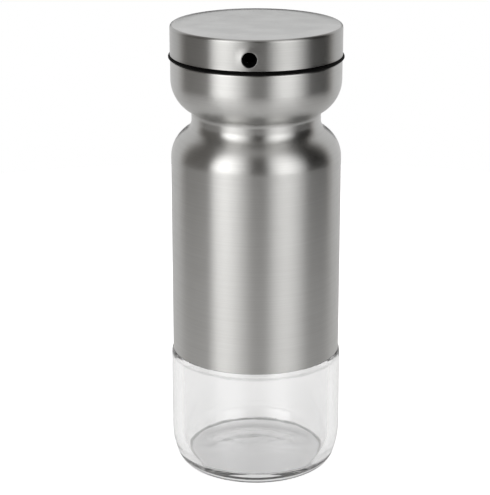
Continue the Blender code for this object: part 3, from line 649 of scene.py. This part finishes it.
class CRUET_OT_glass_bottle(Operator):
    """Thick glass foot below a ledge, thinner body inside the sleeve, neck with a snap bead"""
    bl_idname = "cruet.glass_bottle"
    bl_label = "Glass bottle"

    def execute(self, context):
        cruet = context.scene.cruet
        size = cruet.bottle
        sleeve = cruet.sleeve
        shoulder_z = SLEEVE_LOW.z + sleeve.tube
        mouth = GLASS_HIGH.z
        beyond_heel = size.flank_radius - size.heel_radius
        flank_top = size.heel_radius + beyond_heel * math.sin(size.flank_angle)
        heel_r = size.foot_radius - size.flank_radius + beyond_heel * math.cos(size.flank_angle)
        hollow_r = heel_r - size.ring_width
        hollow_radius = (hollow_r ** 2 + size.push_up ** 2) / (2 * size.push_up)
        hollow_turn = math.asin(hollow_r / hollow_radius)
        neck_bore = size.neck_radius - size.neck_wall
        cavity = size.body_radius - size.wall
        outer_turn = turn_for(size.body_radius - size.neck_radius, size.shoulder_radius,
                              size.shoulder_fillet)
        inner_shoulder = size.shoulder_radius - size.wall
        inner_fillet = size.shoulder_fillet + size.neck_wall
        inner_turn = turn_for(cavity - neck_bore, inner_shoulder, inner_fillet)
        bead_half = size.bead_height / 2
        bead_radius = (bead_half ** 2 + size.bead_proud ** 2) / (2 * size.bead_proud)
        bead_turn = math.asin(bead_half / bead_radius)

        pen = Pen(cruet, 0, size.push_up, heading=0)
        pen.bend(-hollow_turn, hollow_radius)
        pen.soften(size.push_up_edge)
        pen.heading = 0
        pen.go(size.ring_width)
        pen.bend(math.pi / 2 - size.flank_angle, size.heel_radius)
        pen.bend(size.flank_angle, size.flank_radius)
        ledge_turn = math.acos(1 - (size.foot_radius - sleeve.radius - size.ledge_show)
                               / size.ledge_round)
        pen.go(size.foot_height - size.ledge_round * math.sin(ledge_turn) - flank_top)
        pen.bend(ledge_turn, size.ledge_round)
        pen.to(size.body_radius, size.foot_height, size.ledge_root)
        pen.to(size.body_radius, shoulder_z)
        pen.heading = math.pi / 2
        pen.s_bend(outer_turn, size.shoulder_radius, size.shoulder_fillet)
        bead = mouth - size.bead_drop
        pen.to(size.neck_radius, bead - bead_half)
        pen.heading = math.pi / 2 - bead_turn
        pen.bend(2 * bead_turn, bead_radius)
        pen.heading = math.pi / 2
        pen.to(size.neck_radius, mouth - size.mouth_round)
        pen.bend(math.pi / 2, size.mouth_round)
        pen.to(neck_bore + size.mouth_round, mouth)
        pen.bend(math.pi / 2, size.mouth_round)
        inner_rise = (inner_shoulder + inner_fillet) * math.sin(inner_turn)
        pen.to(neck_bore, shoulder_z + inner_rise)
        pen.s_bend(inner_turn, inner_fillet, inner_shoulder)
        drop = size.inner_flank * math.sin(size.inner_flank_angle)
        drop += size.floor_round * (1 - math.sin(size.inner_flank_angle))
        pen.to(cavity, size.floor + drop)
        pen.bend(-size.inner_flank_angle, size.inner_flank)
        pen.bend(size.inner_flank_angle - math.pi / 2, size.floor_round)
        seam = pen.tip.co.x + size.floor_round / 2
        pen.to(seam / 2, size.floor)
        pen.to(0, size.floor)
        bm = pen.spun()
        self.ripple_floor(bm, size, seam)
        # These two lines are painted shade in the glass's colour, with real frost in their
        # roughness.
        floor_seam_shade = (seam, size.floor + size.floor_round / 4, size.floor_round, 1.0)
        ledge_seam_shade = (size.foot_radius, size.foot_height - size.seam_shade_drop, size.seam_shade_width,
                      cruet.finishes.ledge_seam_shade)
        glass = clear_glass(cruet.finishes, (floor_seam_shade, ledge_seam_shade))
        place("glass_bottle_clear", bm, glass, "bottle", "clear_glass", "glass_bottle")
        return {"FINISHED"}

    @staticmethod
    def ripple_floor(bm, size, seam):
        """Let the pressed corner round the floor waver a little, as glass does."""
        reach = 5 * size.floor_round
        for vert in bm.verts:
            out = vert.co.xy.length
            near = max(0.0, 1 - abs(out - seam) / reach)
            near *= max(0.0, 1 - abs(vert.co.z - size.floor) / reach)
            if near and vert.co.z >= size.floor - SAME_POINT:
                turn = math.atan2(vert.co.y, vert.co.x)
                wave = sum(height * math.sin(count * turn + start)
                           for height, count, start in RIPPLES)
                vert.co.z += near * size.ripple * wave
                vert.co.xy *= 1 + near * size.ripple * wave / out


class CRUET_OT_steel_sleeve(Operator):
    """Drawn steel tube with a waist and a bowl-shaped collar, its rim turned in as a flat flange"""
    bl_idname = "cruet.steel_sleeve"
    bl_label = "Steel sleeve"

    def execute(self, context):
        cruet = context.scene.cruet
        size = cruet.sleeve
        sheet = size.sheet
        waist_turn = turn_for(size.waist_depth, size.shoulder_radius, size.shoulder_fillet)
        bowl_turn = turn_for(size.waist_depth, size.bowl_fillet, size.bowl_radius)
        rim_inside = size.rim_round - sheet
        pen = Pen(cruet, size.radius, SLEEVE_LOW.z, soft=size.edge)
        pen.go(size.tube)
        pen.s_bend(waist_turn, size.shoulder_radius, size.shoulder_fillet)
        pen.go(size.waist)
        pen.s_bend(-bowl_turn, size.bowl_fillet, size.bowl_radius)
        pen.go(size.collar - size.rim_round)
        pen.bend(math.pi / 2, size.rim_round)
        pen.to(size.rim_hole, SLEEVE_HIGH.z)
        pen.to(size.rim_hole, SLEEVE_HIGH.z - sheet)
        pen.to(size.radius - size.rim_round, SLEEVE_HIGH.z - sheet)
        pen.heading = 0
        pen.bend(-math.pi / 2, rim_inside)
        pen.go(size.collar - size.rim_round)
        pen.s_bend(-bowl_turn, size.bowl_radius - sheet, size.bowl_fillet + sheet)
        pen.go(size.waist)
        pen.s_bend(waist_turn, size.shoulder_fillet + sheet, size.shoulder_radius - sheet)
        pen.to(size.radius - sheet, SLEEVE_LOW.z, size.edge)
        place("steel_sleeve_brushed", pen.spun(), brushed_stainless(cruet.finishes), "bottle",
              "brushed_steel", "steel_sleeve")
        return {"FINISHED"}


class CRUET_OT_neck_collar(Operator):
    """Plastic ring snapped over the neck, its flange on the sleeve's rim, with two key notches"""
    bl_idname = "cruet.neck_collar"
    bl_label = "Neck collar"

    def execute(self, context):
        cruet = context.scene.cruet
        size = cruet.head
        top = COLLAR_HIGH.z
        low = COLLAR_LOW.z
        flange_radius = COLLAR_HIGH.x
        flange_low = top - size.flange
        lip_low = top - size.lip_depth
        groove = top - size.groove_drop
        half_notch = math.asin(size.notch_width / 2 / size.notch_reach)
        bm = bmesh.new()
        for start, turn, notched in ((half_notch, math.pi - 2 * half_notch, False),
                                     (-half_notch, 2 * half_notch, True)):
            pen = Pen(cruet, size.collar_bore, low, heading=0)
            pen.to(size.collar_radius, low, size.soft_edge)
            pen.to(size.collar_radius, flange_low)
            pen.to(flange_radius, flange_low, size.soft_edge)
            pen.to(flange_radius, top, size.soft_edge)
            pen.to(size.notch_reach, top)
            if notched:
                pen.to(size.notch_reach, top - size.notch_depth)
            else:
                pen.to(size.lip_bore, top)
            pen.to(size.lip_bore, top - size.notch_depth)
            pen.to(size.lip_bore, lip_low)
            pen.to(size.collar_bore, lip_low)
            pen.to(size.collar_bore, groove + size.groove_half)
            pen.to(size.collar_groove, groove + size.groove_half)
            pen.to(size.collar_groove, groove - size.groove_half)
            pen.to(size.collar_bore, groove - size.groove_half)
            section = pen.drawn()
            steps = max(8, round(turn / math.tau * cruet.sides))
            bmesh.ops.rotate(section, cent=ORIGIN, matrix=Matrix.Rotation(start, 3, "Z"),
                             verts=section.verts)
            spin(section, turn, steps)
            copy_turned(section, math.pi)
            part = bpy.data.meshes.new("collar_part")
            section.to_mesh(part)
            section.free()
            bm.from_mesh(part)
            bpy.data.meshes.remove(part)
        bmesh.ops.remove_doubles(bm, verts=bm.verts, dist=SAME_POINT * 10)
        bmesh.ops.holes_fill(bm, edges=[edge for edge in bm.edges if edge.is_boundary], sides=0)
        bmesh.ops.recalc_face_normals(bm, faces=bm.faces)
        place("neck_collar_moulded", bm, moulded_polypropylene(cruet.finishes), "bottle",
              "black_plastic", "neck_collar")
        finish_node("neck_washer", silicone_rubber(cruet.finishes))
        return {"FINISHED"}


class CRUET_OT_rim_gasket(Operator):
    """Black ring between the rim and the cap, its outside rounded and standing proud"""
    bl_idname = "cruet.rim_gasket"
    bl_label = "Rim gasket"

    def execute(self, context):
        cruet = context.scene.cruet
        size = cruet.head
        low, top, out = GASKET_LOW.z, GASKET_HIGH.z - cruet.cap.skirt, GASKET_HIGH.x
        pen = Pen(cruet, size.gasket_bore, low, heading=0)
        pen.to(out, low, size.gasket_round)
        pen.to(out, top, size.gasket_round)
        pen.to(size.gasket_bore, top)
        place("rim_gasket_soft", pen.spun(), silicone_rubber(cruet.finishes), "bottle",
              "black_silicone", "rim_gasket")
        return {"FINISHED"}


class CRUET_OT_pour_plug(Operator):
    """Stopper: stem with two ring grooves and two keys, drum with the outlet and air ports"""
    bl_idname = "cruet.pour_plug"
    bl_label = "Pour plug"
    wall_rows = 12
    window = 1.5            # half the width of the refaced wall round a port, in port radii
    vent_window = 1.4       # the same, up and down from the air port
    key_seek = 0.0002       # how near a face is to the stem's radius to lie on it

    def execute(self, context):
        cruet = context.scene.cruet
        size = cruet.head
        soft = size.soft_edge
        drum_top, drum_out = PLUG_HIGH.z, PLUG_HIGH.y
        stem_low = PLUG_LOW.z
        drum_low = stem_low + size.stem_length
        key_low = drum_low - size.key_height
        key_top = drum_low - soft
        pen = Pen(cruet, size.stem_bore, stem_low, heading=0, soft=soft)
        pen.to(size.stem_radius, stem_low, 3 * soft)
        for ring in ("stem_ring_lower", "stem_ring_upper"):
            middle = sum(corner.z for corner in RING_BOXES[ring]) / 2
            for out, height in ((size.stem_radius, -1), (size.ring_groove, -1),
                                (size.ring_groove, 1), (size.stem_radius, 1)):
                pen.to(out, middle + height * size.ring_groove_half)
        pen.to(size.stem_radius, key_low)
        pen.to(size.stem_radius, key_top)
        pen.to(size.stem_radius, drum_low)
        pen.to(drum_out, drum_low, soft)
        floor_top = drum_low + size.drum_floor
        run = drum_top - floor_top
        pen.to(drum_out, floor_top)
        pen.heading = math.pi / 2
        pen.go(run, self.wall_rows)
        pen.to(size.drum_bore, drum_top)
        pen.heading = -math.pi / 2
        pen.go(run, self.wall_rows)
        pen.to(size.stem_bore, floor_top, soft)
        bm = pen.spun()
        self.raise_keys(bm, size, key_low, key_top)
        hole_z = cruet.cap.hole_height
        pierce(bm, FRONT, hole_z, size.port_radius, size.drum_bore, drum_out,
               self.window * size.port_radius, floor_top, drum_top - soft, rings=2)
        vent_reach = self.vent_window * size.vent_radius
        pierce(bm, REAR, hole_z, size.vent_radius, size.drum_bore, drum_out,
               self.window * size.vent_radius, hole_z - vent_reach, hole_z + vent_reach, rings=1)
        place("pour_plug_moulded", bm, moulded_polypropylene(cruet.finishes), "pour_head",
              "black_plastic", "pour_plug")
        for ring, (low, high) in RING_BOXES.items():
            section = (high.z - low.z) / 2
            hoop = Pen(cruet, high.x, (high.z + low.z) / 2)
            hoop.step *= 4
            hoop.bend(math.tau - hoop.step, section)
            place(ring + "_soft", hoop.spun(), silicone_rubber(cruet.finishes), "pour_head",
                  "black_silicone", ring)
        for node in ("port_seal", "vent_seal"):
            finish_node(node, silicone_rubber(cruet.finishes))
        finish_node("drum_lid", moulded_polypropylene(cruet.finishes))
        return {"FINISHED"}

    def raise_keys(self, bm, size, low, top):
        """Pull the two keys out of the stem's side, at -X and +X."""
        for side in (-1, 1):
            root = []
            for face in bm.faces:
                middle = face.calc_center_median()
                level_with = low < middle.z < top
                on_stem = abs(middle.xy.length - size.stem_radius) < self.key_seek
                if (level_with and on_stem and abs(middle.y) < size.key_width / 2
                        and side * middle.x > 0):
                    root.append(face)
            made = bmesh.ops.extrude_face_region(bm, geom=root)["geom"]
            bmesh.ops.delete(bm, geom=root, context="FACES")
            for item in made:
                if isinstance(item, bmesh.types.BMVert):
                    item.co.x = side * size.key_reach
        bmesh.ops.recalc_face_normals(bm, faces=bm.faces)


class CRUET_OT_cap(Operator):
    """Drawn steel cap with a pour hole low on its front, pushed out a little round the hole"""
    bl_idname = "cruet.cap"
    bl_label = "Cap"
    wall_rows = 16
    top_slope = 0.9         # faces that look up more than this are satin
    window = 2.2            # half the width of the refaced wall round the pour hole, in its radii
    vent_window = 2         # the same at the air hole, also up and down

    def execute(self, context):
        cruet = context.scene.cruet
        size = cruet.cap
        low, crown = SHELL_LOW.z - size.skirt, SHELL_HIGH.z
        inner = size.radius - size.sheet
        edge = size.edge_inside + size.sheet
        slope = size.dome_angle
        flat = size.radius - edge * (1 - math.sin(slope)) - size.dome_radius * math.sin(slope)
        wall_top = crown - size.dome_radius * (1 - math.cos(slope)) - edge * math.cos(slope)
        run = wall_top - low - size.hem
        pen = Pen(cruet, 0, crown, heading=0)
        pen.to(flat / 2, crown)
        pen.to(flat, crown)
        pen.bend(-slope, size.dome_radius)
        pen.bend(slope - math.pi / 2, edge)
        pen.go(run, self.wall_rows)
        pen.to(size.radius + size.hem_flare, low, size.hem_edge)
        pen.to(inner + size.hem_flare, low, size.hem_edge)
        pen.to(inner, low + size.hem)
        pen.heading = math.pi / 2
        pen.go(run, self.wall_rows)
        pen.to(inner, crown - size.sheet - size.edge_inside)
        pen.bend(math.pi / 2, size.edge_inside)
        pen.to(flat / 2, crown - size.sheet)
        pen.to(0, crown - size.sheet)
        bm = pen.spun()
        self.open_hole(bm, size, inner, low + size.hem, wall_top)
        finishes = cruet.finishes
        # The side gets the darker steel, painted shade, and the top the paler one, painted light:
        # two copies of one sheet.
        shell = place("cap_shell_brushed", bm, cap_shaded_stainless(finishes), "cap", "brushed_steel",
                      "cap_shell")
        shell.data.materials.append(satin_lit_stainless(finishes))
        for face in shell.data.polygons:
            face.material_index = int(face.normal.z > self.top_slope)
        finish_node("cap_liner", moulded_polypropylene(finishes))
        for node in ("pivot_washer", "pivot_screw"):
            finish_node(node, turned_steel(finishes))
        return {"FINISHED"}

    def open_hole(self, bm, size, inner, low, high):
        """Pour hole with a soft edge and the swelling round it, and the air hole opposite."""
        hole_z = size.hole_height
        vent_reach = self.vent_window * size.vent
        pierce(bm, REAR, hole_z, size.vent, inner, size.radius, vent_reach, hole_z - vent_reach,
               hole_z + vent_reach, rings=1, edge=size.hole_edge)
        pierce(bm, FRONT, hole_z, size.hole, inner, size.radius, self.window * size.hole, low, high,
               rings=8, edge=size.hole_edge)
        for vert in bm.verts:
            right = math.atan2(vert.co.x, -vert.co.y) * size.radius
            away = math.hypot(right, vert.co.z - hole_z)
            near = away / size.swell_radius
            out = vert.co.xy.length
            if near < 1 and out > inner - size.sheet and vert.co.y < 0:
                lean = size.swell_middle - (1 - size.swell_middle) * right / away
                vert.co.xy *= 1 + size.swell * lean * (1 + math.cos(math.pi * near)) / 2 / out


class CRUET_OT_stage(Operator):
    """White table top, soft studio light and the camera"""
    bl_idname = "cruet.stage"
    bl_label = "Stage"
    table_sides = 96
    clip_start = 0.01

    def execute(self, context):
        cruet = context.scene.cruet
        studio = cruet.studio
        context.scene.view_settings.view_transform = "Standard"
        cycles = context.scene.cycles
        cycles.max_bounces = cycles.glossy_bounces = cycles.transmission_bounces = LIGHT_BOUNCES
        self.camera(context, studio)
        self.table(context, studio)
        self.world(context, studio)
        self.softbox(context, "left_softbox", studio, cruet.left_softbox)
        self.softbox(context, "right_softbox", studio, cruet.right_softbox)
        return {"FINISHED"}

    def camera(self, context, studio):
        camera = bpy.data.objects.new("camera", bpy.data.cameras.new("camera"))
        camera.data.lens = studio.lens
        camera.data.clip_start = self.clip_start
        camera.location = (studio.distance * math.sin(studio.azimuth),
                           -studio.distance * math.cos(studio.azimuth), studio.height)
        camera.rotation_euler = (math.pi / 2 - studio.pitch, 0, studio.azimuth + studio.pan)
        context.scene.collection.objects.link(camera)
        context.scene.camera = camera

    def table(self, context, studio):
        bm = bmesh.new()
        bmesh.ops.create_circle(bm, cap_ends=True, segments=self.table_sides,
                                radius=studio.table_radius)
        mesh = bpy.data.meshes.new("table_top")
        bm.to_mesh(mesh)
        bm.free()
        mesh.materials.append(white_laminate(studio))
        table = bpy.data.objects.new("table_top", mesh)
        context.scene.collection.objects.link(table)

    @staticmethod
    def world(context, studio):
        """White all round to the camera; to the object, a pale backdrop and a dim room in front."""
        world = bpy.data.worlds.new("studio")
        world.use_nodes = True
        tree = world.node_tree
        tree.nodes.clear()
        context.scene.world = world
        sine, cosine = math.sin(studio.azimuth), math.cos(studio.azimuth)
        direction = add(tree, "TexCoord").outputs["Generated"]
        height = add(tree, "SeparateXYZ", {0: direction}).outputs["Z"]
        facing, across = [add(tree, "VectorMath", {0: direction, 1: axis},
                              operation="DOT_PRODUCT")
                          for axis in ((-sine, cosine, 0), (cosine, sine, 0))]
        room = add(tree, "MapRange",
                   {"Value": across, "From Min": -1.0, "To Min": studio.room_left,
                    "To Max": studio.room_right})
        behind = add(tree, "MapRange",
                     {"Value": facing, "From Min": studio.backdrop_start,
                      "From Max": studio.backdrop_end, "To Min": room, "To Max": studio.backdrop},
                     interpolation_type="SMOOTHSTEP")
        above = add(tree, "MapRange",
                    {"Value": height, "From Min": studio.ceiling_start,
                     "From Max": studio.ceiling_end, "To Max": studio.ceiling},
                    interpolation_type="SMOOTHSTEP")
        # The slot is dark where a direction is both low and straight behind.
        low = add(tree, "Math", {0: height, 1: studio.slot_height, 2: studio.slot_half},
                  operation="COMPARE")
        aside = add(tree, "Math", {0: facing, 1: math.cos(studio.slot_reach)},
                    operation="LESS_THAN")
        lit = add(tree, "Math", {0: 1.0, 1: low}, operation="SUBTRACT")
        clear = add(tree, "Math", {0: aside, 1: lit}, operation="MAXIMUM")
        around = add(tree, "Math", {0: behind, 1: clear, 2: above},
                     operation="MULTIPLY_ADD")
        seen = add(tree, "LightPath").outputs["Is Camera Ray"]
        strength = add(tree, "Math", {0: seen, 1: around}, operation="MAXIMUM")
        pale = add(tree, "MapRange", {"Value": strength, "From Max": studio.backdrop})
        tint = add(tree, "Mix", {"Factor": pale, 6: (*studio.room_tint, 1),
                                           7: (1, 1, 1, 1)}, data_type="RGBA")
        background = add(tree, "Background", {"Color": tint, "Strength": strength})
        add(tree, "OutputWorld", {"Surface": background})

    @staticmethod
    def softbox(context, name, studio, size):
        """Flat upright lamp that faces the bottle, brightest near its middle."""
        lamp = bpy.data.lights.new(name, "AREA")
        lamp.shape = "RECTANGLE"
        lamp.size = size.width
        lamp.size_y = size.tall
        lamp.energy = size.brightness * math.pi * size.width * size.tall
        lamp.use_nodes = True
        tree = lamp.node_tree
        tree.nodes.clear()
        place_on = add(tree, "SeparateXYZ",
                       {0: add(tree, "NewGeometry").outputs["Parametric"]})
        lean = add(tree, "Math", {0: place_on.outputs["X"], 1: size.lean},
                   operation="POWER")
        across = add(tree, "Math", {0: lean, 1: math.pi}, operation="MULTIPLY")
        arch = add(tree, "Math", {0: across}, operation="SINE")
        fade = add(tree, "Math", {0: arch, 1: size.falloff}, operation="POWER")
        up = add(tree, "Math", {0: place_on.outputs["Y"], 1: size.top_share - 1, 2: 1.0},
                 operation="MULTIPLY_ADD")
        both = add(tree, "Math", {0: fade, 1: up}, operation="MULTIPLY")
        glow = add(tree, "Emission", {"Strength": both})
        add(tree, "OutputLight", {0: glow})
        box = bpy.data.objects.new(name, lamp)
        around = studio.azimuth + size.turn
        box.location = (size.distance * math.sin(around), -size.distance * math.cos(around),
                        size.low + size.tall / 2)
        box.rotation_euler = (math.pi / 2, 0, around)
        box.visible_camera = False
        context.scene.collection.objects.link(box)


PIECES = (CRUET_OT_glass_bottle, CRUET_OT_steel_sleeve, CRUET_OT_neck_collar, CRUET_OT_rim_gasket,
          CRUET_OT_pour_plug, CRUET_OT_cap, CRUET_OT_stage)


class CRUET_PT_panel(Panel):
    """Sizes, finishes and the pieces to build"""
    bl_idname = "CRUET_PT_panel"
    bl_label = "Oil cruet"
    bl_space_type = "VIEW_3D"
    bl_region_type = "UI"
    bl_category = "Cruet"
    built_in = 2            # a group's first properties, its type and its name, aren't listed

    def draw(self, context):
        cruet = context.scene.cruet
        for group in (cruet.bottle, cruet.sleeve, cruet.head, cruet.cap, cruet.finishes,
                      cruet.studio, cruet.left_softbox, cruet.right_softbox):
            box = self.layout.box()
            for item in group.bl_rna.properties[self.built_in:]:
                box.prop(group, item.identifier)
        for piece in PIECES:
            self.layout.operator(piece.bl_idname)


CLASSES = (BottleSizes, SleeveSizes, HeadSizes, CapSizes, Finishes, Studio, LeftSoftbox,
           RightSoftbox, Cruet, *PIECES, CRUET_PT_panel)


def register():
    for item in CLASSES:
        bpy.utils.register_class(item)
    bpy.types.Scene.cruet = PointerProperty(type=Cruet)


def unregister():
    del bpy.types.Scene.cruet
    for item in reversed(CLASSES):
        bpy.utils.unregister_class(item)


def main():
    register()
    bpy.ops.cruet.stage()
    bpy.ops.cruet.glass_bottle()
    bpy.ops.cruet.steel_sleeve()
    bpy.ops.cruet.neck_collar()
    bpy.ops.cruet.rim_gasket()
    bpy.ops.cruet.pour_plug()
    bpy.ops.cruet.cap()


if __name__ == "__main__":
    main()
